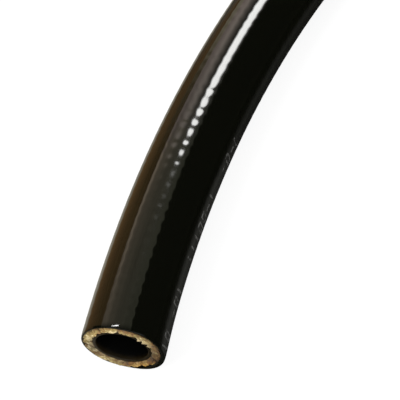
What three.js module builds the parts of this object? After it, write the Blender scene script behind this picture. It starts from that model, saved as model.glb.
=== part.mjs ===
// A one foot length of smooth black thermoplastic hydraulic hose with a 3/8 inch bore,
// cut square at both ends and lying flat on the floor in the bend that it keeps from its reel.
// Three bonded layers: a plastic inner tube, a fibre braid and a glossy cover.
// Units are millimetres. The near mouth faces -Y, the far mouth faces +X, and +Z is up.
import * as THREE from "three";

// Section of the hose
const boreDiameter = 9.5; // clear bore, 3/8 inch
const innerTubeWall = 0.6;
const braidWall = 1.8;
const coverWall = 0.45;
const bondLine = 0.05; // clearance between two layers that are bonded in the real hose

// Length and lie of the hose
const hoseLength = 304.8; // one foot along the centreline
const layTurn = THREE.MathUtils.degToRad(90); // how far the hose turns from mouth to mouth
const layTightening = 0.38; // share of the turn that builds up towards the far end

// Fineness of the faceted solids
const sectionSides = 24;
const stationCount = 24;
const pathSteps = 96;

// Radii of the layers, worked out from the bore outwards
const innerTubeInside = boreDiameter / 2;
const innerTubeOutside = innerTubeInside + innerTubeWall;
const braidOutside = innerTubeOutside + braidWall;
const coverOutside = braidOutside + coverWall;

// How far the hose has turned, clockwise from +Y, at a share of its length
function headingAt(share) {
  return layTurn * ((1 - layTightening) * share + layTightening * share * share);
}

// The centreline lies flat, and a point on it is the sum of short steps along the heading
class HoseCentreline extends THREE.Curve {
  getPoint(share, target = new THREE.Vector3()) {
    target.set(0, 0, coverOutside);
    const step = share / pathSteps;
    for (let i = 0; i < pathSteps; i += 1) {
      const heading = headingAt((i + 0.5) * step);
      target.x += Math.sin(heading) * step * hoseLength;
      target.y += Math.cos(heading) * step * hoseLength;
    }
    return target;
  }

  getTangent(share, target = new THREE.Vector3()) {
    const heading = headingAt(share);
    return target.set(Math.sin(heading), Math.cos(heading), 0);
  }
}

// One regular polygon around the centreline, with corners at the top, bottom and sides
function ringPoints(radius) {
  const points = [];
  for (let i = 0; i < sectionSides; i += 1) {
    const angle = (i / sectionSides) * 2 * Math.PI;
    points.push(new THREE.Vector2(radius * Math.cos(angle), radius * Math.sin(angle)));
  }
  return points;
}

// A layer is a ring section carried along the centreline, open at both mouths
function layer(name, insideRadius, outsideRadius, material) {
  const section = new THREE.Shape(ringPoints(outsideRadius));
  section.holes.push(new THREE.Path(ringPoints(insideRadius)));
  const geometry = new THREE.ExtrudeGeometry(section, {
    extrudePath: new HoseCentreline(),
    steps: stationCount,
    bevelEnabled: false,
  });
  const mesh = new THREE.Mesh(geometry, material);
  mesh.name = name;
  return mesh;
}

const liningPlastic = new THREE.MeshStandardMaterial({ color: 0x1c1b1f, roughness: 0.45, metalness: 0 });
const goldenFibre = new THREE.MeshStandardMaterial({ color: 0xd9b56a, roughness: 0.75, metalness: 0 });
const glossyCover = new THREE.MeshStandardMaterial({ color: 0x0b0b0c, roughness: 0.12, metalness: 0 });

const hose = new THREE.Group();
hose.add(layer("inner_tube", innerTubeInside, innerTubeOutside, liningPlastic));
hose.add(layer("fibre_braid", innerTubeOutside + bondLine, braidOutside, goldenFibre));
hose.add(layer("cover", braidOutside + bondLine, coverOutside, glossyCover));

// The origin is the middle of the hose's box, at floor height
const box = new THREE.Box3().setFromObject(hose);
const middle = box.getCenter(new THREE.Vector3());
hose.position.set(-middle.x, -middle.y, -box.min.z);

export default hose;
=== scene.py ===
# Looks of a one foot length of glossy black hydraulic hose with a golden fibre braid.
# Everything is in metres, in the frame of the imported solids.
import math

import bpy
import numpy as np
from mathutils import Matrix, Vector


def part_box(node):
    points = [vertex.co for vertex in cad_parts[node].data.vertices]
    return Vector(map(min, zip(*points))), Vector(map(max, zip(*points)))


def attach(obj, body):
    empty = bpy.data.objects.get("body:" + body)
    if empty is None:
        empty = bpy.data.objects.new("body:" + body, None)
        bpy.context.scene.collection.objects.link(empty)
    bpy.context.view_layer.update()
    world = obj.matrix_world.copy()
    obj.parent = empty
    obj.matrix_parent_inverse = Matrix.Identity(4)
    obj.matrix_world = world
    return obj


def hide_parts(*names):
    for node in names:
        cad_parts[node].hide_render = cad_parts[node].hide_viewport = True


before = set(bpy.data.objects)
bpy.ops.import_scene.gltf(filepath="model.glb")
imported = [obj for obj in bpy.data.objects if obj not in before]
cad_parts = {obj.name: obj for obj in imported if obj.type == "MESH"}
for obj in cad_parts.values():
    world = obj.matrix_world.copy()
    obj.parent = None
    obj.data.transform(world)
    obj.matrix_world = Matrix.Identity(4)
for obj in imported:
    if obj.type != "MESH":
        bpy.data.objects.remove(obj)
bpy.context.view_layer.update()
print("frame loaded:", sorted(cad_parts))

mm = 0.001
tau = 2 * math.pi
body = "root"

# How the hose lies: the route that the solids follow
lie = {
    "length": 304.8 * mm,
    "turn": math.radians(90),
    "tightening": 0.38,     # share of the turn that builds up towards the far end
    "outside": 7.6 * mm,    # radius over the cover
    "braidOutside": 7.15 * mm,
    "liningOutside": 5.35 * mm,
    "bore": 4.75 * mm,
    "fineSteps": 12000,     # short steps that the route is summed from
}
coverLow = np.array(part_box("cover")[0])
nearMouth = np.array([coverLow[0] + lie["outside"], coverLow[1], lie["outside"]])


def headingAt(station):
    # heading = turn * ((1 - tightening) * u + tightening * u^2), clockwise from +Y, u = station / length
    u = station / lie["length"]
    return lie["turn"] * ((1 - lie["tightening"]) * u + lie["tightening"] * u * u)


def sumRoute():
    # x = sum of sin(heading) * step, y = sum of cos(heading) * step, taken at the middle of each step
    steps = lie["fineSteps"]
    step = lie["length"] / steps
    heading = headingAt((np.arange(steps) + 0.5) * step)
    x = np.concatenate([[0], np.cumsum(np.sin(heading) * step)])
    y = np.concatenate([[0], np.cumsum(np.cos(heading) * step)])
    return np.arange(steps + 1) * step, x, y


routeStations, routeX, routeY = sumRoute()


def centreline(station):
    # point of the route at each station, and the level direction to its right
    x = np.interp(station, routeStations, routeX)
    y = np.interp(station, routeStations, routeY)
    heading = headingAt(station)
    point = np.stack([x, y, np.zeros_like(x)], axis=-1) + nearMouth
    side = np.stack([np.cos(heading), -np.sin(heading), np.zeros_like(heading)], axis=-1)
    return point, side


def onwardAt(station):
    # level direction along the route = (sin(heading), cos(heading), 0)
    heading = headingAt(station)
    return np.stack([np.sin(heading), np.cos(heading), 0 * heading], axis=-1)


def aroundRoute(station, radius, angle):
    # point = centre(station) + radius * (cos(angle) * side + sin(angle) * up)
    point, side = centreline(station)
    up = np.array([0.0, 0.0, 1.0])
    ring = np.cos(angle)[..., None] * side + np.sin(angle)[..., None] * up
    return point + radius[..., None] * ring


def turnFrom(angle, way):
    # signed turn from way to angle, between -pi and pi
    return np.angle(np.exp(1j * (angle - way)))


def bell(angle, way, width):
    # exp(-(turn / width)^2): 1 on one side of the hose, falling off around it
    return np.exp(-(turnFrom(angle, way) / width) ** 2)


def smoothNoise(x, y, seed, waves=9, low=0.6, high=2.2):
    # sum of a few sine waves of seeded directions and phases, about -1 to 1
    random = np.random.default_rng(seed)
    total = np.zeros(np.broadcast(x, y).shape)
    for _ in range(waves):
        scale = random.uniform(low, high)
        way = random.uniform(0, tau)
        total += np.sin(scale * (x * math.cos(way) + y * math.sin(way)) + random.uniform(0, tau))
    return total / math.sqrt(waves)


def gridMesh(name, points, mapAlong):
    # quads between neighbouring rows and columns, closed around both, so that each piece is a walled tube
    rows, columns = points.shape[:2]
    r, c = np.meshgrid(np.arange(rows), np.arange(columns), indexing="ij")
    rNext, cNext = (r + 1) % rows, (c + 1) % columns
    corners = (r * columns + c, rNext * columns + c, rNext * columns + cNext, r * columns + cNext)
    quads = np.stack(corners, axis=-1).reshape(-1, 4)
    mesh = bpy.data.meshes.new(name)
    mesh.vertices.add(rows * columns)
    mesh.vertices.foreach_set("co", points.reshape(-1).astype(np.float32))
    mesh.loops.add(quads.size)
    mesh.loops.foreach_set("vertex_index", quads.reshape(-1).astype(np.int32))
    mesh.polygons.add(len(quads))
    mesh.polygons.foreach_set("loop_start", (np.arange(len(quads)) * 4).astype(np.int32))
    mesh.polygons.foreach_set("use_smooth", np.full(len(quads), True))
    mesh.update(calc_edges=True)
    # u is the station in centimetres, v the turns around the hose, so no seam runs back over the tube
    u = np.stack([mapAlong[r, 0], mapAlong[rNext, 0], mapAlong[rNext, 0], mapAlong[r, 0]], axis=-1)
    v = np.stack([c, c, c + 1, c + 1], axis=-1) / columns
    uv = np.stack([u * 100, v], axis=-1).reshape(-1)
    layer = mesh.uv_layers.new(name="hoseMap")
    layer.data.foreach_set("uv", uv.astype(np.float32))
    mesh.validate()
    piece = bpy.data.objects.new(name, mesh)
    bpy.context.scene.collection.objects.link(piece)
    return piece


# The camera stands where the photograph's did
camera = {
    "fromMouth": (37.865 * mm, -113.405 * mm),
    "height": 247.15 * mm,
    "yaw": math.radians(11.890),
    "downward": math.radians(57.974),
    "lens": 136.2,
    "sensor": 36.0,
    "clip": (0.01, 50),
}
eyePlace = np.array([nearMouth[0] + camera["fromMouth"][0], nearMouth[1] + camera["fromMouth"][1],
                     camera["height"]])


def buildCamera():
    # upright camera, turned left by yaw and down by downward from the level
    data = bpy.data.cameras.new("camera")
    data.lens = camera["lens"]
    data.sensor_width = camera["sensor"]
    data.clip_start, data.clip_end = camera["clip"]
    eye = bpy.data.objects.new("camera", data)
    bpy.context.scene.collection.objects.link(eye)
    eye.location = tuple(eyePlace)
    eye.rotation_euler = (math.pi / 2 - camera["downward"], 0, camera["yaw"])
    bpy.context.scene.camera = eye


buildCamera()
print("camera placed")

# Cover: a thin glossy skin, with the braid showing through it as a ripple
cover = {
    "rows": 900,
    "columns": 96,
    "innerRows": 16,
    "overBraid": 0.03 * mm,     # clearance between the skin's inside and the braid
    "rippleHeight": 0.0078 * mm,
    "rippleSink": 1.9,          # the skin is set in by this many ripple heights, so no crest stands proud
    "rippleCalm": 3.6 * mm,     # towards a cut the ripple dies down over this length
    "rippleLeast": 0.08,        # share of it that is left at the cut
    "swell": 0.5,               # share by which its height wanders
    "drift": (0.5, 0.22),       # how far its pattern wanders, slowly and quickly
    "strandsEachWay": 12,
    "strandPitch": 30.0 * mm,   # length over which a strand goes once round
    "edgeLength": 1.2 * mm,     # the skin rounds down over this length at each cut
    "edgeDrop": 0.08 * mm,
    "lipRadius": 0.13 * mm,
    "lipInside": 0.05 * mm,     # the inside wall ends this far from the cut
    "lipBack": 0.34 * mm,       # the lip stands this far behind the cut's foremost point
    "lipForward": math.radians(-32),    # the side where the skin was dragged forward
    "lipWidth": 0.85,           # half width of that side in radians
    "lipWave": 0.03 * mm,
    "fade": 6.0 * mm,           # length over which the cut's slant dies out along the hose
    "bulge": 0.24 * mm,         # the dragged side also stands out a little
    "bulgeWidth": 0.75,
    "bulgeLength": 7.0 * mm,
    "lipOver": 0.17 * mm,       # how far the lip hangs over the braid on the left and right
    "leastHeight": 0.002 * mm,  # lowest height over the floor
}

# The cut is a little out of true: the braid sits off centre in the skin
cut = {
    "faceBack": 0.40 * mm,
    "lean": 0.13 * mm,          # the cut leans forward at the top by this and back at the bottom
    "offCentre": 0.21 * mm,
    "offCentreWay": math.radians(208),
    "offCentreFade": 9.0 * mm,
}


def offCentre(station, angle):
    # shift = offCentre * cos(angle - way), fading away from each cut
    fromCut = np.minimum(station, lie["length"] - station)
    fade = np.exp(-(fromCut / cut["offCentreFade"]) ** 2)
    return cut["offCentre"] * fade * np.cos(angle - cut["offCentreWay"])


def rippleHeight(station, angle):
    # height = swell * cos(12 * angle) * cos(12 * tau * station / pitch), both phases shifted by a slow drift
    n = cover["strandsEachWay"]
    x, y = station / mm, angle
    slow, quick = cover["drift"]
    swell = 1 + cover["swell"] * smoothNoise(x * 0.7, 2 * np.sin(y), 11, waves=12)
    drift = slow * smoothNoise(x * 0.16, 1.5 * np.cos(y), 12)
    drift = drift + quick * smoothNoise(x * 0.8, 2 * np.cos(y), 13)
    weave = np.cos(n * angle + 0.5 * drift) * np.cos(tau * n * station / cover["strandPitch"] + 2 * drift)
    return cover["rippleHeight"] * swell * weave


def lipWarp(station, angle):
    # near each cut, station moves in by lipBack * (1 - bell on the dragged side) + wave - lean * sin(angle)
    back = cover["lipBack"] * (1 - bell(angle, cover["lipForward"], cover["lipWidth"]))
    back = back + cover["lipWave"] * np.cos(5 * angle + 1)
    back = back - cut["lean"] * np.sin(angle)
    back = np.clip(back, 0, None)
    near = np.clip(1 - station / cover["fade"], 0, 1) ** 2
    far = np.clip(1 - (lie["length"] - station) / cover["fade"], 0, 1) ** 2
    return station + back * near - back * far


def buildCover():
    # closed loop of rings: along the outside, over the far lip, back along the inside, over the near lip
    length, outside, inside = lie["length"], lie["outside"], lie["braidOutside"] + cover["overBraid"]
    lip, tuck = cover["lipRadius"], cover["lipInside"]
    lipAngle = np.linspace(0, math.pi / 2, 6)[1:]
    outer = np.linspace(lip, length - lip, cover["rows"])
    inner = np.linspace(length - tuck, tuck, cover["innerRows"])
    farLip = length - lip + lip * np.sin(lipAngle)
    nearLip = lip - lip * np.sin(lipAngle)
    drop = lip * (1 - np.cos(lipAngle))
    stations = np.concatenate([outer, farLip, inner, nearLip[::-1]])
    radii = np.concatenate([np.full(len(outer), outside), outside - drop,
                            np.full(len(inner), inside), (outside - drop)[::-1]])
    isOuter = np.concatenate([np.ones(len(outer) + len(drop)), np.zeros(len(inner)), np.ones(len(drop))])
    isOuter = isOuter[:, None]
    angles = np.arange(cover["columns"]) / cover["columns"] * tau
    s, a = np.meshgrid(stations, angles, indexing="ij")
    r = np.repeat(radii[:, None], len(angles), axis=1)
    fromCut = np.minimum(s, length - s)
    drawnIn = np.clip(1 - fromCut / cover["edgeLength"], 0, 1) ** 2 * cover["edgeDrop"]
    ripple = rippleHeight(s, a) - cover["rippleHeight"] * cover["rippleSink"]
    calm = np.clip(fromCut / cover["rippleCalm"], cover["rippleLeast"], 1)
    dragged = bell(a, cover["lipForward"], cover["bulgeWidth"])
    bulge = cover["bulge"] * dragged * np.exp(-(fromCut / cover["bulgeLength"]) ** 2)
    over = cover["lipOver"] * np.cos(a) ** 2 * np.exp(-(fromCut / mm) ** 2)
    r = r + isOuter * (ripple * calm - drawnIn + bulge) + (1 - isOuter) * (offCentre(s, a) - over)
    points = aroundRoute(lipWarp(s, a), r, a)
    points[..., 2] = np.maximum(points[..., 2], cover["leastHeight"])
    return gridMesh("hose_cover", points, mapAlong=s)


# Braid: bonded strands, seen only at the cuts as slanted, rope-like ends
braid = {
    "columns": 480,
    "faceRows": 46,
    "wallRows": 24,
    "wallFrom": 1.2 * mm,       # the plain wall starts this far from each cut
    "clearance": 0.02 * mm,
    "strands": 21,
    "middle": 6.26 * mm,
    # three rings of strand ends: shift of their middle line, size, height and how far they lie sunk
    "layers": ((0.0, 1.0, 1.0, 0.0), (-0.62 * mm, 0.62, 0.72, -0.28), (0.60 * mm, 0.66, 0.72, -0.24)),
    "long": 1.25 * mm,          # half sizes of a cut strand
    "short": 0.62 * mm,
    "slant": math.radians(31),
    "layerTurn": 0.33,          # each ring of ends is turned by this share of a strand
    "placeScatter": 0.2,        # how unevenly the ends lie: in shares of a strand, radians, shares of their
    "slantScatter": 0.16,       # size, metres and shares of their height
    "longScatter": (0.85, 1.15),
    "shortScatter": (0.85, 1.12),
    "middleScatter": 0.10 * mm,
    "heightScatter": 0.05,
    "doming": 0.30 * mm,
    "domingBack": 0.26 * mm,    # the face is set back by this, so that the domes end near the cut
    "grit": 0.02 * mm,
    "fringe": 0.90 * mm,        # how far the frayed inner edge hangs over the lining
    "fringeRise": 0.10,         # share of the fringe by which the edge is set back between the teeth
    "fringeTeeth": 29,
    "toothScatter": 0.35,
    "toothWidth": (0.05, 0.11),         # in radians
    "toothHeight": (0.1, 1.0),
    "fringeSide": math.radians(52),     # here the teeth are longest
    "fringeSideWidth": 0.62,
    "fringeElsewhere": 0.28,            # share of their length away from that side
    "fringeBack": 0.10 * mm,
    # the next tint is a painted highlight on the teeth that hang over the lining
    "fringeHighlight": (0.50, 0.39, 0.22),
    "proudSide": math.radians(256),     # here the braid stands forward of the skin
    "proudWidth": 0.8,
    "proud": 0.17 * mm,
    "leastDepth": 0.03 * mm,
}
fibreTints = {
    # the darkest tint is painted shade in the hollows between the strand ends
    "gapShade": (0.060, 0.037, 0.013),
    "mauve": (0.150, 0.095, 0.060),
    "amber": (0.270, 0.130, 0.025),
    "tan": (0.260, 0.180, 0.085),
    "gold": (0.330, 0.250, 0.070),
    # cream is partly the fibres' own pale colour and partly a painted highlight of shiny fibres
    "cream": (0.780, 0.660, 0.420),
}

# How the strand ends are coloured: a level from 0 to 1 picks a tint, and patches dull or lift it
fibreTone = {
    "stops": (("mauve", 0.0), ("amber", 0.2), ("tan", 0.42), ("gold", 0.62), ("cream", 1.0)),
    "start": 0.20,
    "strand": 0.58,             # how far one strand can differ from the next
    "slow": 0.15,               # clouds, grit and lines along each strand
    "fine": 0.17,
    "lines": 0.12,
    "linesEach": 30,            # radians of the lines' wave in one millimetre across a strand
    "paintedLightSide": (0.12, math.radians(160)),     # painted light: one side of the ring is made lighter
    "paintedLightPair": (0.08, math.radians(40)),      # painted light: so are two sides that face each other
    "paintedLightInner": (0.20, math.radians(70)),     # painted light: and the inner edge on one side
    # soft patches: way in degrees, width in radians, change at the outer edge and at the inner edge
    "patches": ((345, 0.80, -0.40, -0.48), (206, 0.42, -0.36, -0.78), (245, 0.45, -0.08, -0.30),
                (95, 0.50, 0.00, 0.50), (148, 0.36, -0.52, 0.70), (0, 0.35, -0.05, -0.42),
                (62, 0.28, -0.38, 0.05), (272, 0.30, -0.04, -0.36), (186, 0.35, 0.05, -0.50),
                (303, 0.30, 0.30, -0.50)),
    "amberSide": math.radians(302),
    "amberWidth": 0.38,
    "amberChange": (0.30, -0.02, -0.45),    # change of red, green and blue there
    "warm": (1.0, 0.96, 0.84),
}


def strandEnds(radius, angle, seed):
    # dome = 1 - (along / long)^2 - (across / short)^2 on axes slanted to the ring; the highest dome shows
    random = np.random.default_rng(seed)
    dome = np.full(radius.shape, -0.6)
    tone = np.zeros(radius.shape)
    stripe = np.zeros(radius.shape)
    for layer, (shift, size, height, sink) in enumerate(braid["layers"]):
        middle = braid["middle"] + shift
        count = braid["strands"] + layer
        for k in range(count):
            scatter = random.uniform(-braid["placeScatter"], braid["placeScatter"])
            place = (k + braid["layerTurn"] * layer + scatter) / count * tau
            slant = braid["slant"] + random.normal(0, braid["slantScatter"])
            halfLong = braid["long"] * size * random.uniform(*braid["longScatter"])
            halfShort = braid["short"] * size * random.uniform(*braid["shortScatter"])
            aroundRing = turnFrom(angle, place) * radius
            rise = radius - middle - random.normal(0, braid["middleScatter"])
            along = aroundRing * math.cos(slant) - rise * math.sin(slant)
            across = aroundRing * math.sin(slant) + rise * math.cos(slant)
            bulk = height * (1 - (along / halfLong) ** 2 - (across / halfShort) ** 2)
            value = bulk + sink + random.normal(0, braid["heightScatter"])
            better = value > dome
            dome = np.where(better, value, dome)
            tone = np.where(better, random.uniform(0, 1), tone)
            stripe = np.where(better, across / mm, stripe)
    return dome, tone, stripe


def fibreColour(dome, tone, stripe, radius, angle, seed):
    # level = start + tone of the strand + painted light on some sides + noises; tint at that level,
    # fading to painted shade in the gaps between the domes, times 1 + change * bell for each soft patch,
    # times the warm and amber shares
    look = fibreTone
    stops = [stop for name, stop in look["stops"]]
    table = np.array([fibreTints[name] for name, stop in look["stops"]])
    x, y = radius * np.cos(angle) / mm, radius * np.sin(angle) / mm
    slow = smoothNoise(x * 0.9, y * 0.9, seed + 3)
    fine = smoothNoise(x * 6, y * 6, seed + 4, waves=16)
    lines = np.sin(stripe * look["linesEach"] + 3 * slow)
    inward = 1 - 2 * (radius - lie["liningOutside"]) / (lie["braidOutside"] - lie["liningOutside"])
    (oneSide, oneWay), (pair, pairWay), (inner, innerWay) = (
        look["paintedLightSide"], look["paintedLightPair"], look["paintedLightInner"])
    # painted light: some sides of the ring, and its inner edge on one side, are lifted towards the pale
    # tints
    sides = oneSide * np.cos(angle - oneWay) + pair * np.cos(2 * (angle - pairWay))
    sides = sides + inner * inward * np.cos(angle - innerWay)
    noises = look["slow"] * slow + look["fine"] * fine + look["lines"] * lines
    level = np.clip(look["start"] + look["strand"] * tone + sides + noises, 0, 1)
    colour = np.stack([np.interp(level, stops, table[:, channel]) for channel in range(3)], axis=-1)
    # painted shade: where a dome sinks, its colour fades to the dark tint of the gaps
    shown = np.clip((dome + 0.55) / 0.5, 0, 1)[..., None]
    share = 0.5 + 0.5 * inward
    dull = np.ones(radius.shape)
    for way, width, atOuter, atInner in look["patches"]:
        dull *= 1 + (atOuter + (atInner - atOuter) * share) * bell(angle, math.radians(way), width)
    amber = bell(angle, look["amberSide"], look["amberWidth"])[..., None] * np.array(look["amberChange"])
    warm = (1 + amber) * np.array(look["warm"])
    return (colour * shown + np.array(fibreTints["gapShade"]) * (1 - shown)) * dull[..., None] * warm


def fringeTeeth(angle, seed):
    # tooth(angle) = highest of many narrow bells of random height, longest on the fringe side
    random = np.random.default_rng(seed)
    count, scatter, least = braid["fringeTeeth"], braid["toothScatter"], braid["fringeElsewhere"]
    total = np.zeros(angle.shape)
    for k in range(count):
        place = (k + random.uniform(-scatter, scatter)) / count * tau
        width = random.uniform(*braid["toothWidth"])
        onSide = math.exp(-((place - braid["fringeSide"]) / braid["fringeSideWidth"]) ** 2)
        height = random.uniform(*braid["toothHeight"]) * (least + (1 - least) * onSide)
        total = np.maximum(total, height * bell(angle, place, width))
    return total


def buildBraid():
    # closed loop of rings: out over the near cut, along the outside, in over the far cut, and back inside;
    # depth of a cut = faceBack + domingBack - doming * sqrt(dome + 0.35) - grit - lean - proud
    length = lie["length"]
    inside, outside = lie["liningOutside"] - braid["clearance"], lie["braidOutside"] - braid["clearance"]
    face = np.linspace(0, 1, braid["faceRows"])
    wall = np.linspace(braid["wallFrom"], length - braid["wallFrom"], braid["wallRows"])
    angles = np.arange(braid["columns"]) / braid["columns"] * tau
    flat, a = np.meshgrid(inside + (outside - inside) * face, angles, indexing="ij")
    ends = []
    for station, seed in ((0.0, 21), (length, 57)):
        dome, tone, stripe = strandEnds(flat, a, seed)
        colour = fibreColour(dome, tone, stripe, flat, a, seed)
        x, y = np.cos(a) * flat / mm, np.sin(a) * flat / mm
        grit = smoothNoise(x * 9, y * 9, seed + 5, waves=14, low=0.7, high=3.0)
        rise = braid["doming"] * np.sqrt(np.clip(dome + 0.35, 0, 1.2)) + braid["grit"] * grit
        forward = cut["lean"] * np.clip(np.sin(a), -0.5, 1)
        forward = forward + braid["proud"] * bell(a, braid["proudSide"], braid["proudWidth"])
        depth = cut["faceBack"] + braid["domingBack"] - rise - forward
        edge = (1 - face[:, None]) ** 2
        teeth = fringeTeeth(a, seed + 7)
        inward = edge * braid["fringe"] * (teeth - braid["fringeRise"])
        # painted highlight: the hanging teeth are mixed towards a pale tint
        lit = np.clip(1.5 * teeth * edge, 0, 0.8)[..., None]
        colour = colour * (1 - lit) + np.array(braid["fringeHighlight"]) * lit
        radius = flat - inward + offCentre(0 * a, a)
        depth = np.clip(depth + braid["fringeBack"] * edge, braid["leastDepth"], None)
        if station == 0:
            ends.append((depth, radius, colour))
        else:
            ends.append(((station - depth)[::-1], radius[::-1], colour[::-1]))
    wallS, wallA = np.meshgrid(wall, angles, indexing="ij")
    plain = np.broadcast_to(np.array(fibreTints["tan"]), (*wallS.shape, 3))
    outer = (wallS, outside + offCentre(wallS, wallA), plain)
    inner = (wallS[::-1], inside + offCentre(wallS[::-1], wallA), plain)
    order = [ends[0], outer, ends[1], inner]
    s, r, colour = (np.concatenate([part[k] for part in order]) for k in range(3))
    piece = gridMesh("hose_braid", aroundRoute(s, r, np.broadcast_to(angles, s.shape)), mapAlong=s)
    attribute = piece.data.attributes.new("fibreColour", "FLOAT_COLOR", "POINT")
    rgba = np.concatenate([colour, np.ones((*s.shape, 1))], axis=-1)
    attribute.data.foreach_set("color", rgba.reshape(-1).astype(np.float32))
    return piece


# Inner tube: dark plastic around the bore
lining = {
    "rows": 150,
    "outerRows": 20,
    "columns": 96,
    "clearance": 0.04 * mm,     # between it and the braid
    "recess": 0.47 * mm,
    "edge": 0.14 * mm,
}


def buildLining():
    # closed loop of rings: along the bore, over the far edge, back along the outside, over the near edge
    length, recess, edge = lie["length"], lining["recess"], lining["edge"]
    bore, outside = lie["bore"], lie["liningOutside"] - lining["clearance"]
    turn = np.linspace(0, math.pi / 2, 5)[1:-1]
    rounding = edge * (1 - np.cos(turn))
    inner = np.linspace(length - recess - edge, recess + edge, lining["rows"])
    outer = np.linspace(recess, length - recess, lining["outerRows"])
    stations = np.concatenate([inner, recess + edge * (1 - np.sin(turn)), [recess], outer, [length - recess],
                               length - recess - edge * (1 - np.sin(turn[::-1]))])
    radii = np.concatenate([np.full(len(inner), bore), bore + rounding, [bore + edge],
                            np.full(len(outer), outside), [bore + edge], bore + rounding[::-1]])
    angles = np.arange(lining["columns"]) / lining["columns"] * tau
    s, a = np.meshgrid(stations, angles, indexing="ij")
    r = np.repeat(radii[:, None], len(angles), axis=1) + offCentre(s, a)
    piece = gridMesh("hose_lining", aroundRoute(s, r, a), mapAlong=s)
    depth = piece.data.attributes.new("fromCut", "FLOAT", "POINT")
    depth.data.foreach_set("value", (np.minimum(s, length - s) / mm).reshape(-1).astype(np.float32))
    return piece


coverPiece = buildCover()
braidPiece = buildBraid()
liningPiece = buildLining()
for piece in (coverPiece, braidPiece, liningPiece):
    print(piece.name, "has", len(piece.data.polygons), "faces")


# Small helpers for materials
def newMaterial(name):
    material = bpy.data.materials.new(name)
    material.use_nodes = True
    nodes, links = material.node_tree.nodes, material.node_tree.links
    return material, nodes, links, nodes["Principled BSDF"]


def mapNode(nodes):
    node = nodes.new("ShaderNodeUVMap")
    node.uv_map = "hoseMap"
    return node


def attributeNode(nodes, name):
    node = nodes.new("ShaderNodeAttribute")
    node.attribute_name = name
    return node


def objectNoise(nodes, links, scale, detail=3.0, roughness=0.5):
    where = nodes.new("ShaderNodeTexCoord")
    noise = nodes.new("ShaderNodeTexNoise")
    noise.inputs["Scale"].default_value = scale
    noise.inputs["Detail"].default_value = detail
    noise.inputs["Roughness"].default_value = roughness
    links.new(where.outputs["Object"], noise.inputs["Vector"])
    return noise


def rangeNode(nodes, links, value, start=0.0, end=1.0, low=0.0, high=1.0):
    # result = low at start, high at end, straight between
    node = nodes.new("ShaderNodeMapRange")
    for socket, number in (("From Min", start), ("From Max", end), ("To Min", low), ("To Max", high)):
        node.inputs[socket].default_value = number
    links.new(value, node.inputs["Value"])
    return node


def mixedColour(nodes, links, factor, first, second):
    # colour = first * (1 - factor) + second * factor
    node = nodes.new("ShaderNodeMix")
    node.data_type = "RGBA"
    node.inputs["A"].default_value = (*first, 1)
    node.inputs["B"].default_value = (*second, 1)
    links.new(factor, node.inputs["Factor"])
    return node.outputs["Result"]


def mathNode(nodes, links, operation, first, second=None, third=None):
    node = nodes.new("ShaderNodeMath")
    node.operation = operation
    for index, value in enumerate((first, second, third)):
        if value is None:
            continue
        if isinstance(value, (int, float)):
            node.inputs[index].default_value = value
        else:
            links.new(value, node.inputs[index])
    return node.outputs[0]


def patchyGroup():
    # Value = Low + (High - Low) * noise at Scale, read from object coordinates
    group = bpy.data.node_groups.new("patchyValue", "ShaderNodeTree")
    for name in ("Scale", "Low", "High"):
        group.interface.new_socket(name, in_out="INPUT", socket_type="NodeSocketFloat")
    group.interface.new_socket("Value", in_out="OUTPUT", socket_type="NodeSocketFloat")
    nodes, links = group.nodes, group.links
    given, output = nodes.new("NodeGroupInput"), nodes.new("NodeGroupOutput")
    noise = objectNoise(nodes, links, 1.0)
    spread = rangeNode(nodes, links, noise.outputs["Fac"])
    links.new(given.outputs["Scale"], noise.inputs["Scale"])
    links.new(given.outputs["Low"], spread.inputs["To Min"])
    links.new(given.outputs["High"], spread.inputs["To Max"])
    links.new(spread.outputs["Result"], output.inputs["Value"])
    return group


patchyValue = patchyGroup()


def patchyRoughness(nodes, links, shader, scale, low, high):
    node = nodes.new("ShaderNodeGroup")
    node.node_tree = patchyValue
    node.inputs["Scale"].default_value = scale
    node.inputs["Low"].default_value = low
    node.inputs["High"].default_value = high
    links.new(node.outputs["Value"], shader.inputs["Roughness"])


# Worn marks in place of print: sizes in shares of a cell along the hose and of half the band across it
marks = {
    "cell": 0.235,          # length of one mark in centimetres
    "band": 13.0 / 360,     # where they run, in turns from the right-hand side
    "half": 8.8 / 360,      # half their height in turns
    "repeat": 8.9,          # centimetres from one run of marks to the next
    "groups": ((-0.1, 1.4), (1.85, 3.5), (4.0, 4.8)),   # from and to, in centimetres of each run
    "boxHalf": 0.33,
    "boxHollow": 0.68,
    "tickLean": 0.10,
    "tickHalf": 0.09,
    "dashHalf": 0.34,
    "dashThick": 0.17,
    "boxesTo": 0.42,        # a cell's chance number picks a box, a tick or a dash, or leaves it empty
    "ticksTo": 0.70,
    "dashesTo": 0.84,
    "wearScale": 1100,
    "wear": (0.36, 0.56),   # noise at which a mark is gone, and at which it is whole
}


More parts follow.
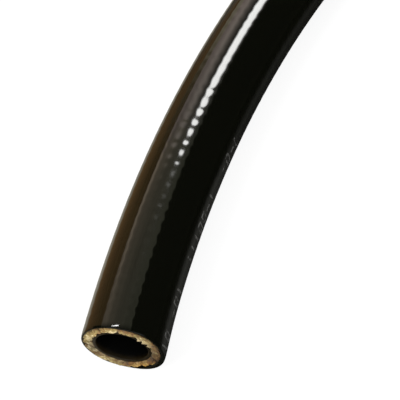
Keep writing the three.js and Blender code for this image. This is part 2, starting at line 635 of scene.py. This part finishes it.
def printMarks():
    # mask of plain marks in a row: each cell picks a hollow box, a tick across the hose or a dash along it
    group = bpy.data.node_groups.new("printMarks", "ShaderNodeTree")
    group.interface.new_socket("Mask", in_out="OUTPUT", socket_type="NodeSocketFloat")
    nodes, links = group.nodes, group.links
    output = nodes.new("NodeGroupOutput")

    def calc(operation, first, second=None, third=None):
        return mathNode(nodes, links, operation, first, second, third)

    def between(value, low, high):
        return calc("MULTIPLY", calc("GREATER_THAN", value, low), calc("LESS_THAN", value, high))

    split = nodes.new("ShaderNodeSeparateXYZ")
    links.new(mapNode(nodes).outputs[0], split.inputs[0])
    along = calc("DIVIDE", split.outputs[0], marks["cell"])
    inCell = calc("SUBTRACT", calc("FRACT", along), 0.5)
    height = calc("DIVIDE", calc("SUBTRACT", split.outputs[1], marks["band"]), marks["half"])
    tall, aside = calc("ABSOLUTE", height), calc("ABSOLUTE", inCell)
    pick = nodes.new("ShaderNodeTexWhiteNoise")
    pick.noise_dimensions = "1D"
    links.new(calc("FLOOR", along), pick.inputs["W"])
    chance = pick.outputs["Value"]
    edge = calc("MAXIMUM", calc("DIVIDE", aside, marks["boxHalf"]), tall)
    box = between(edge, marks["boxHollow"], 1.0)
    lean = calc("ABSOLUTE", calc("MULTIPLY_ADD", height, marks["tickLean"], inCell))
    tick = calc("MULTIPLY", calc("LESS_THAN", lean, marks["tickHalf"]), calc("LESS_THAN", tall, 1.0))
    dash = calc("MULTIPLY", calc("LESS_THAN", aside, marks["dashHalf"]),
                calc("LESS_THAN", tall, marks["dashThick"]))
    shape = calc("MULTIPLY", box, calc("LESS_THAN", chance, marks["boxesTo"]))
    shape = calc("MULTIPLY_ADD", tick, between(chance, marks["boxesTo"], marks["ticksTo"]), shape)
    shape = calc("MULTIPLY_ADD", dash, between(chance, marks["ticksTo"], marks["dashesTo"]), shape)
    inRun = calc("FRACT", calc("DIVIDE", split.outputs[0], marks["repeat"]))
    inRun = calc("MULTIPLY", inRun, marks["repeat"])
    shown = 0.0
    for start, end in marks["groups"]:
        shown = calc("ADD", between(inRun, start, end), shown)
    shape = calc("MULTIPLY", shape, shown)
    worn = objectNoise(nodes, links, marks["wearScale"], 2)
    wear = rangeNode(nodes, links, worn.outputs["Fac"], *marks["wear"])
    links.new(calc("MULTIPLY", shape, wear.outputs["Result"]), output.inputs["Mask"])
    return group


# Finishes of the three layers; a roughness gives the scale of its patches, the lowest and the highest
coverLook = {
    "ior": 1.5,
    "black": (0.0021, 0.0023, 0.0012),
    "print": (0.070, 0.070, 0.066),
    "roughness": (900, 0.05, 0.09),
}
fibreLook = {
    "grainScale": 3200,
    "grainRoughness": 0.6,
    "grainFrom": (0.3, 0.7),        # noise between these levels spreads the tint by the next two
    "grainLight": (0.72, 1.22),
    "roughness": 0.5,
    "bump": 0.5,
    "bumpDepth": 0.1 * mm,
}
liningLook = {
    # painted shade: the lining's colour at the cut darkens to near black deeper into the bore
    "edge": (0.014, 0.0088, 0.0020),
    "deepShade": (0.0012, 0.0012, 0.0010),
    "deepShadeFrom": 0.35,               # millimetres from the cut over which painted shade darkens it
    "deepShadeTo": 1.9,
    "roughness": (700, 0.30, 0.42),
}


def coverMaterial():
    material, nodes, links, shader = newMaterial("glossy_cover")
    shader.inputs["IOR"].default_value = coverLook["ior"]
    printed = nodes.new("ShaderNodeGroup")
    printed.node_tree = printMarks()
    colour = mixedColour(nodes, links, printed.outputs["Mask"], coverLook["black"], coverLook["print"])
    links.new(colour, shader.inputs["Base Color"])
    patchyRoughness(nodes, links, shader, *coverLook["roughness"])
    return material


def fibreMaterial():
    material, nodes, links, shader = newMaterial("golden_fibre")
    tint = attributeNode(nodes, "fibreColour")
    grain = objectNoise(nodes, links, fibreLook["grainScale"], 3, fibreLook["grainRoughness"])
    light = rangeNode(nodes, links, grain.outputs["Fac"], *fibreLook["grainFrom"], *fibreLook["grainLight"])
    scale = nodes.new("ShaderNodeVectorMath")
    scale.operation = "SCALE"
    links.new(tint.outputs["Color"], scale.inputs[0])
    links.new(light.outputs["Result"], scale.inputs["Scale"])
    links.new(scale.outputs[0], shader.inputs["Base Color"])
    shader.inputs["Roughness"].default_value = fibreLook["roughness"]
    bump = nodes.new("ShaderNodeBump")
    bump.inputs["Strength"].default_value = fibreLook["bump"]
    bump.inputs["Distance"].default_value = fibreLook["bumpDepth"]
    links.new(grain.outputs["Fac"], bump.inputs["Height"])
    links.new(bump.outputs["Normal"], shader.inputs["Normal"])
    return material


def liningMaterial():
    material, nodes, links, shader = newMaterial("lining_plastic")
    depth = attributeNode(nodes, "fromCut")
    # painted shade, darker deeper into the bore
    deepShade = rangeNode(nodes, links, depth.outputs["Fac"], liningLook["deepShadeFrom"], liningLook["deepShadeTo"])
    deepShade.interpolation_type = "SMOOTHERSTEP"
    colour = mixedColour(nodes, links, deepShade.outputs["Result"], liningLook["edge"], liningLook["deepShade"])
    links.new(colour, shader.inputs["Base Color"])
    patchyRoughness(nodes, links, shader, *liningLook["roughness"])
    return material


for piece, node, slotName, material in ((coverPiece, "cover", "glossy_cover", coverMaterial()),
                                        (braidPiece, "fibre_braid", "golden_fibre", fibreMaterial()),
                                        (liningPiece, "inner_tube", "lining_plastic", liningMaterial())):
    piece.data.materials.append(material)
    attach(piece, body)
    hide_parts(node)
print("materials set")

# Studio: a pale floor under white light, and cards that only the gloss sees
studio = {
    "floorHalf": 4.0,
    "floorDiffuse": 0.16,
    "floorOwnLight": 0.87,
    "skyLight": 1.1,
    "skyCamera": 1.05,
    "skyGloss": 0.012,
    "sunStrength": 1.2,
    "sunWidth": math.radians(18),
    "sunTurn": (math.radians(42), 0, math.radians(-38)),
}


def mirrorPoints(rows, reach):
    # where the camera's ray to each place on the cover goes on to: place + reach * (ray - 2 * (ray . n) * n)
    # rows hold the station in millimetres, the degrees around the hose and how far n leans back to the cut
    station, around, lean = np.moveaxis(np.array(rows, dtype=float), -1, 0)
    station, around, lean = station * mm, np.radians(around), np.radians(lean)[..., None]
    place = aroundRoute(station, np.full(station.shape, lie["outside"]), around)
    straight = (place - centreline(station)[0]) / lie["outside"]
    n = np.cos(lean) * straight - np.sin(lean) * onwardAt(station)
    ray = place - eyePlace
    ray = ray / np.linalg.norm(ray, axis=-1, keepdims=True)
    return place + reach * (ray - 2 * np.sum(ray * n, axis=-1, keepdims=True) * n)


def stretchGrid(points, cells):
    # bilinear refinement of a small grid of corner points
    rows, columns = points.shape[:2]
    u, v = np.linspace(0, rows - 1, cells), np.linspace(0, columns - 1, cells)
    i = np.minimum(u.astype(int), rows - 2)
    j = np.minimum(v.astype(int), columns - 2)
    fu, fv = (u - i)[:, None, None], (v - j)[None, :, None]
    near = points[i][:, j] * (1 - fv) + points[i][:, j + 1] * fv
    far = points[i + 1][:, j] * (1 - fv) + points[i + 1][:, j + 1] * fv
    u, v = np.meshgrid(u / (rows - 1), v / (columns - 1), indexing="ij")
    return near * (1 - fu) + far * fu, u, v


def glowCard(name, points, light):
    # an emitting surface for mirror rays alone, its light given at each vertex
    rows, columns = points.shape[:2]
    r, k = np.meshgrid(np.arange(rows - 1), np.arange(columns - 1), indexing="ij")
    corner = r * columns + k
    faces = np.stack([corner, corner + columns, corner + columns + 1, corner + 1], axis=-1)
    mesh = bpy.data.meshes.new(name)
    mesh.from_pydata(points.reshape(-1, 3), [], faces.reshape(-1, 4))
    glow = mesh.attributes.new("glow", "FLOAT_VECTOR", "POINT")
    glow.data.foreach_set("vector", light.reshape(-1).astype(np.float32))
    card = bpy.data.objects.new(name, mesh)
    bpy.context.scene.collection.objects.link(card)
    material, nodes, links, _ = newMaterial(name)
    nodes.clear()
    reader = attributeNode(nodes, "glow")
    emission = nodes.new("ShaderNodeEmission")
    output = nodes.new("ShaderNodeOutputMaterial")
    links.new(reader.outputs["Vector"], emission.inputs["Color"])
    links.new(emission.outputs[0], output.inputs["Surface"])
    mesh.materials.append(material)
    card.visible_camera = False
    card.visible_diffuse = False
    card.visible_shadow = False
    card.visible_transmission = False


def tinted(level, tint):
    return level[..., None] * np.array(tint)


# Wall: the broad grey reflection on the left of the hose's top, with a pale line that turns into a hump
wall = {
    "reach": 4.0,
    "cells": 90,
    "rows": ((0, 9), (0, 0), (40, 0), (65.5, 0), (90, 0)),      # station in mm and lean in degrees
    "rightEdge": (77, 77, 80.5, 82.6, 83),      # degrees around the hose, row by row
    "columns": (90, 104, 118),
    "rowsAlong": ((0.25, 0.5, 0.75, 1), (0, 40, 65, 90)),   # share u of the card and millimetres there
    "level": (0.42, 0.52),          # at the right edge, and what v^2 adds
    "cloud": 0.12,
    "later": (33, 12),              # the hump takes over from here, within so many millimetres
    "lineLight": 0.75,
    "lineAt": (0.87, 0.09, 20),     # share v where it starts, and how far it moves in 20 mm
    "lineWidth": 0.045,
    "humpLight": 1.35,
    "humpAt": (0.69, 0.005, 45),    # share v of it at 45 mm, and its move in each millimetre
    "humpWidth": 0.14,
    "grooveDepth": 0.5,
    "grooveAt": 0.53,
    "grooveWidth": 0.05,
    "nearLevel": 0.40,              # share of the light at the card's near end
    "nearFrom": (0.10, 0.15),
}


def buildWall():
    # light = (0.42 + 0.52 v^2) * clouds + line + later * hump, times 1 - later * groove, and dimmed at the
    # near end; later goes from 0 to 1 along the hose
    corners = [[(station, around, lean) for around in (edge, *wall["columns"])]
               for (station, lean), edge in zip(wall["rows"], wall["rightEdge"])]
    points, u, v = stretchGrid(mirrorPoints(corners, wall["reach"]), wall["cells"])
    along = np.interp(u, *wall["rowsAlong"])
    start, over = wall["later"]
    later = np.clip((along - start) / over, 0, 1)
    later = later * later * (3 - 2 * later)
    cloud = 0.6 * smoothNoise(along * 0.42, v * 9, 31) + 0.6 * smoothNoise(along * 0.10, v * 34, 33)
    level, more = wall["level"]
    light = (level + more * v ** 2) * (1 + wall["cloud"] * cloud)
    lineStart, lineMove, moveOver = wall["lineAt"]
    line = lineStart + lineMove * np.clip(along / moveOver, 0, 1)
    lineLight = wall["lineLight"] * np.clip(along / 12, 0.3, 1) * (1 - 0.8 * later)
    light += lineLight * np.exp(-((v - line + 0.02 * cloud) / wall["lineWidth"]) ** 2)
    humpStart, humpMove, humpStation = wall["humpAt"]
    hump = humpStart + humpMove * (along - humpStation)
    light += wall["humpLight"] * later * np.exp(-((v - hump) / wall["humpWidth"]) ** 2)
    groove = np.exp(-((v - wall["grooveAt"]) / wall["grooveWidth"]) ** 2)
    light *= 1 - wall["grooveDepth"] * later * groove
    nearStart, nearOver = wall["nearFrom"]
    light *= wall["nearLevel"] + (1 - wall["nearLevel"]) * np.clip((u - nearStart) / nearOver, 0, 1)
    tint = np.stack([light * 0 + 1, 1.02 - 0.22 * v, 0.74 - 0.15 * v + 0.12 * later], axis=-1)
    glowCard("wallCard", points, light[..., None] * tint)


# Strip: the white streak along the top; each row holds the places of its right and its left edge
strip = {
    "reach": 3.6,
    "cells": 25,
    "rows": (((39.5, 87.4, 0), (39, 92, 0)),
             ((45, 85.9, 0), (45, 93.9, 0)),
             ((53.5, 84.4, 0), (50.5, 95.5, 0)),
             ((73.5, 84.2, 0), (70, 96.3, 0)),
             ((93.5, 84.2, 0), (89.5, 97.1, 0))),
    "light": 18.5,
    "softSides": (0.22, 0.04),      # share of its width that falls off, and what is left at the very edge
    "softStart": (0.10, 0.3),
    "tint": (1, 1, 0.98),
}


def buildStrip():
    # light = 18.5 * share, share falling off towards the strip's two sides and its near end
    points, u, v = stretchGrid(mirrorPoints(strip["rows"], strip["reach"]), strip["cells"])
    (sides, sideLeast), (start, startLeast) = strip["softSides"], strip["softStart"]
    soft = np.clip(np.minimum(v, 1 - v) / sides, sideLeast, 1) * np.clip(u / start, startLeast, 1)
    glowCard("stripCard", points, tinted(strip["light"] * soft, strip["tint"]))


# Glint: the bright spot where the skin rounds down to the cut
glint = {
    "reach": 3.58,
    "rows": (((0, 93.9, 2.2), (0, 102.8, 5.3)),
             ((0, 94.0, 4.0), (0, 102.8, 7.2))),
    "light": 30,
}


def buildGlint():
    # one plain card, evenly lit
    points = mirrorPoints(glint["rows"], glint["reach"])
    glowCard("glintCard", points, np.full(points.shape, float(glint["light"])))


# Bow: soft light that only the views from the other sides meet
bow = {
    "distance": 4,
    "azimuth": (82, 276, 60),       # first and last degree and the number of points
    "elevation": (26, 64, 14),
    "light": 1.9,
    "tint": (1, 1, 0.98),
}


def buildBow():
    # light = 1.9 * sin(share of its height * pi)^2 * sin(share of its length * pi)^(1/2)
    way, up = np.meshgrid(np.radians(np.linspace(*bow["azimuth"])),
                          np.radians(np.linspace(*bow["elevation"])), indexing="ij")
    points = np.stack([np.cos(up) * np.sin(way), np.cos(up) * np.cos(way), np.sin(up)], axis=-1)
    along = np.linspace(0, math.pi, bow["azimuth"][2])[:, None]
    across = np.linspace(0, math.pi, bow["elevation"][2])[None, :]
    light = bow["light"] * np.sin(across) ** 2 * np.sqrt(np.clip(np.sin(along), 0, 1))
    glowCard("bowCard", bow["distance"] * points, tinted(light, bow["tint"]))


# Warm: the brown of the left flank and of the floor it mirrors
warm = {
    "dark": (0.38, 0.22, 0.09),
    "pale": (0.60, 0.52, 0.36),
    "dim": 0.28,
    "dimAt": (22, 36, 50, 66),      # millimetres where the dimming starts, is whole and ends
}


def warmTint(share):
    # brown at the near side, a little paler and greyer as share goes to 1
    share = np.clip(share, 0, 1)[..., None]
    return np.array(warm["dark"]) * (1 - share) + np.array(warm["pale"]) * share


def midDim(station):
    # share = 1 - dim in the middle, with slopes on both sides
    return 1 - warm["dim"] * np.interp(station, warm["dimAt"], (0, 1, 1, 0))


# Brown: the flank's reflection from the wall's left edge down to the floor
brown = {
    "reach": 4.0,
    "cells": 40,
    "rows": (((0, 118, 5), (0, 131.8, 5)),
             ((0, 118, 0), (0, 129.5, -1.5)),
             ((40, 118, 0), (41, 128, 0)),
             ((90, 118, 0), (90, 124.4, 0))),
    "rowsAlong": ((1 / 3, 2 / 3, 1), (0, 40, 90)),
    "paler": (35, 45),              # the tint turns paler from here, within so many millimetres
    "lift": (55, 20, 0.80),         # extra light from here, within so many millimetres, and how much
    "liftTint": (1, 0.88, 0.7),
    "streak": 0.16,
    "tint": (1.0, 1.05, 1.0),
}


def buildBrown():
    # light = (warm tint + lift towards the far end) * streaks along the hose * dimming in the middle
    points, u, v = stretchGrid(mirrorPoints(brown["rows"], brown["reach"]), brown["cells"])
    along = np.interp(u, *brown["rowsAlong"])
    (palerFrom, palerOver), (liftFrom, liftOver, liftLight) = brown["paler"], brown["lift"]
    lift = np.clip((along - liftFrom) / liftOver, 0, 1) * (1 - 0.6 * v) * liftLight
    streak = (1 + brown["streak"] * smoothNoise(along * 0.12, v * 26, 32)) * midDim(along)
    light = warmTint((along - palerFrom) / palerOver) * np.array(brown["tint"])
    light = light + tinted(lift, brown["liftTint"])
    glowCard("brownCard", points, light * streak[..., None])


# What the gloss sees of the floor, in strips along the hose; all lengths in millimetres
floorLook = {
    "rows": 80,
    "beyondNear": (-1000, -300, -80, -10),  # stations before the near cut and after the far one
    "beyondFar": (10, 300),
    "under": 0.5,                   # depth below the floor
    "left": (0, 6, 12, 16, 18, 20, 22, 24, 27, 35, 60, 110, 200, 400, 900, 4000),
    "right": (0, 9, 11, 14, 18, 24, 30, 45, 110),
    "rightLight": (0.04, 0.04, 0.05, 0.09, 0.17, 0.12, 0.03, 0.01, 0.01),
    "rightTint": (1, 1, 0.92),
    "rightNearer": (58, 10, 0.5),   # up to here the right side is brighter; slope, and share beyond
    "frontDim": (8, 0.3),           # before the near cut all dims within 8 mm to this share
    "seenSlant": 0.84,              # a place at this share of its distance back is seen at the station
    "paler": (58, 25),
    "lift": (48, 26),
    "liftTint": (0.42, 0.42, 0.37),
    "paleAcross": ((8, 12, 16, 20), (0.26, 0.36, 0.50, 0.58)),     # light of the strip beside the hose
    "paleAlong": ((0, 6, 24, 40), (1, 1.35, 1.3, 1)),
    "paleTint": (1.0, 0.92, 0.74),
    "paleTo": (24, 5),              # it ends here, over so many millimetres
    "fromWay": (math.radians(4), math.radians(14)),     # brown only to the left of this way, and its slope
}


def buildFloorLook():
    # left = pale strip beside the hose, brown further out; right = given levels, dimmer beyond 58 mm
    look = floorLook
    length = lie["length"]
    stations = np.concatenate([np.array(look["beyondNear"]) * mm, np.linspace(0, length, look["rows"]),
                               length + np.array(look["beyondFar"]) * mm])
    inside = np.clip(stations, 0, length)
    centre, side = centreline(inside)
    centre = centre + onwardAt(inside) * (stations - inside)[:, None]
    centre[:, 2] = -look["under"] * mm
    left, right = np.array(look["left"]) * mm, np.array(look["right"]) * mm
    frontOver, frontLeast = look["frontDim"]
    dimFront = np.clip(1 + stations / (frontOver * mm), frontLeast, 1)[:, None, None]

    leftPoints = centre[:, None, :] - side[:, None, :] * left[None, :, None]
    away = np.arctan2(-(leftPoints[..., 0] - nearMouth[0]), leftPoints[..., 1] - nearMouth[1])
    seenFrom = (stations[:, None] - look["seenSlant"] * left[None, :]) / mm
    (palerFrom, palerOver), (liftFrom, liftOver) = look["paler"], look["lift"]
    brownLight = warmTint((seenFrom - palerFrom) / palerOver) * midDim(seenFrom)[..., None]
    brownLight = brownLight + tinted(np.clip((seenFrom - liftFrom) / liftOver, 0, 1), look["liftTint"])
    wayFrom, wayOver = look["fromWay"]
    onLeft = np.clip((away - wayFrom) / wayOver, 0.02, 1)[..., None]
    pale = np.interp(left / mm, *look["paleAcross"])[None, :, None]
    pale = pale * np.interp(stations / mm, *look["paleAlong"])[:, None, None]
    paleTo, paleOver = look["paleTo"]
    white = np.clip((paleTo * mm - left) / (paleOver * mm), 0, 1)[None, :, None]
    leftLight = brownLight * onLeft * (1 - white) + pale * np.array(look["paleTint"]) * white
    glowCard("floorLeft", leftPoints, leftLight * dimFront)

    rightPoints = centre[:, None, :] + side[:, None, :] * right[None, :, None]
    nearerTo, nearerOver, beyond = look["rightNearer"]
    nearer = beyond + (1 - beyond) * np.clip((nearerTo * mm - stations) / (nearerOver * mm), 0, 1)
    level = nearer[:, None] * np.array(look["rightLight"])[None, :]
    glowCard("floorRight", rightPoints, tinted(level, look["rightTint"]) * dimFront)


def buildFloor():
    # diffuse floor with light of its own, so that it stays white and keeps only a faint shadow
    half = studio["floorHalf"]
    mesh = bpy.data.meshes.new("floor")
    corners = [(-half, -half, 0), (half, -half, 0), (half, half, 0), (-half, half, 0)]
    mesh.from_pydata(corners, [], [(0, 1, 2, 3)])
    floor = bpy.data.objects.new("floor", mesh)
    bpy.context.scene.collection.objects.link(floor)
    material, _, _, shader = newMaterial("pale_floor")
    level, own = studio["floorDiffuse"], studio["floorOwnLight"]
    shader.inputs["Base Color"].default_value = (level, level, level, 1)
    shader.inputs["Roughness"].default_value = 1.0
    shader.inputs["Specular IOR Level"].default_value = 0.0
    shader.inputs["Emission Color"].default_value = (own, own, own, 1)
    shader.inputs["Emission Strength"].default_value = 1.0
    mesh.materials.append(material)
    floor.visible_glossy = False


def buildSky():
    # white for the camera and for diffuse light, almost black in the gloss
    world = bpy.data.worlds.new("studio")
    bpy.context.scene.world = world
    world.use_nodes = True
    nodes, links = world.node_tree.nodes, world.node_tree.links
    path = nodes.new("ShaderNodeLightPath")
    level = nodes.new("ShaderNodeMix")
    level.data_type = "FLOAT"
    level.inputs["A"].default_value = studio["skyLight"]
    level.inputs["B"].default_value = studio["skyCamera"]
    dark = nodes.new("ShaderNodeMix")
    dark.data_type = "FLOAT"
    dark.inputs["B"].default_value = studio["skyGloss"]
    links.new(path.outputs["Is Camera Ray"], level.inputs["Factor"])
    links.new(level.outputs["Result"], dark.inputs["A"])
    links.new(path.outputs["Is Glossy Ray"], dark.inputs["Factor"])
    nodes["Background"].inputs["Color"].default_value = (1, 1, 1, 1)
    links.new(dark.outputs["Result"], nodes["Background"].inputs["Strength"])


def buildSun():
    # a soft lamp from the left, for the braid's lumps
    data = bpy.data.lights.new("sun", "SUN")
    data.energy = studio["sunStrength"]
    data.angle = studio["sunWidth"]
    sun = bpy.data.objects.new("sun", data)
    bpy.context.scene.collection.objects.link(sun)
    sun.rotation_euler = studio["sunTurn"]
    sun.visible_glossy = False


for build in (buildFloor, buildSky, buildSun, buildWall, buildStrip, buildGlint, buildBow, buildBrown,
              buildFloorLook):
    build()
bpy.context.scene.view_settings.view_transform = "Standard"
print("studio lit")
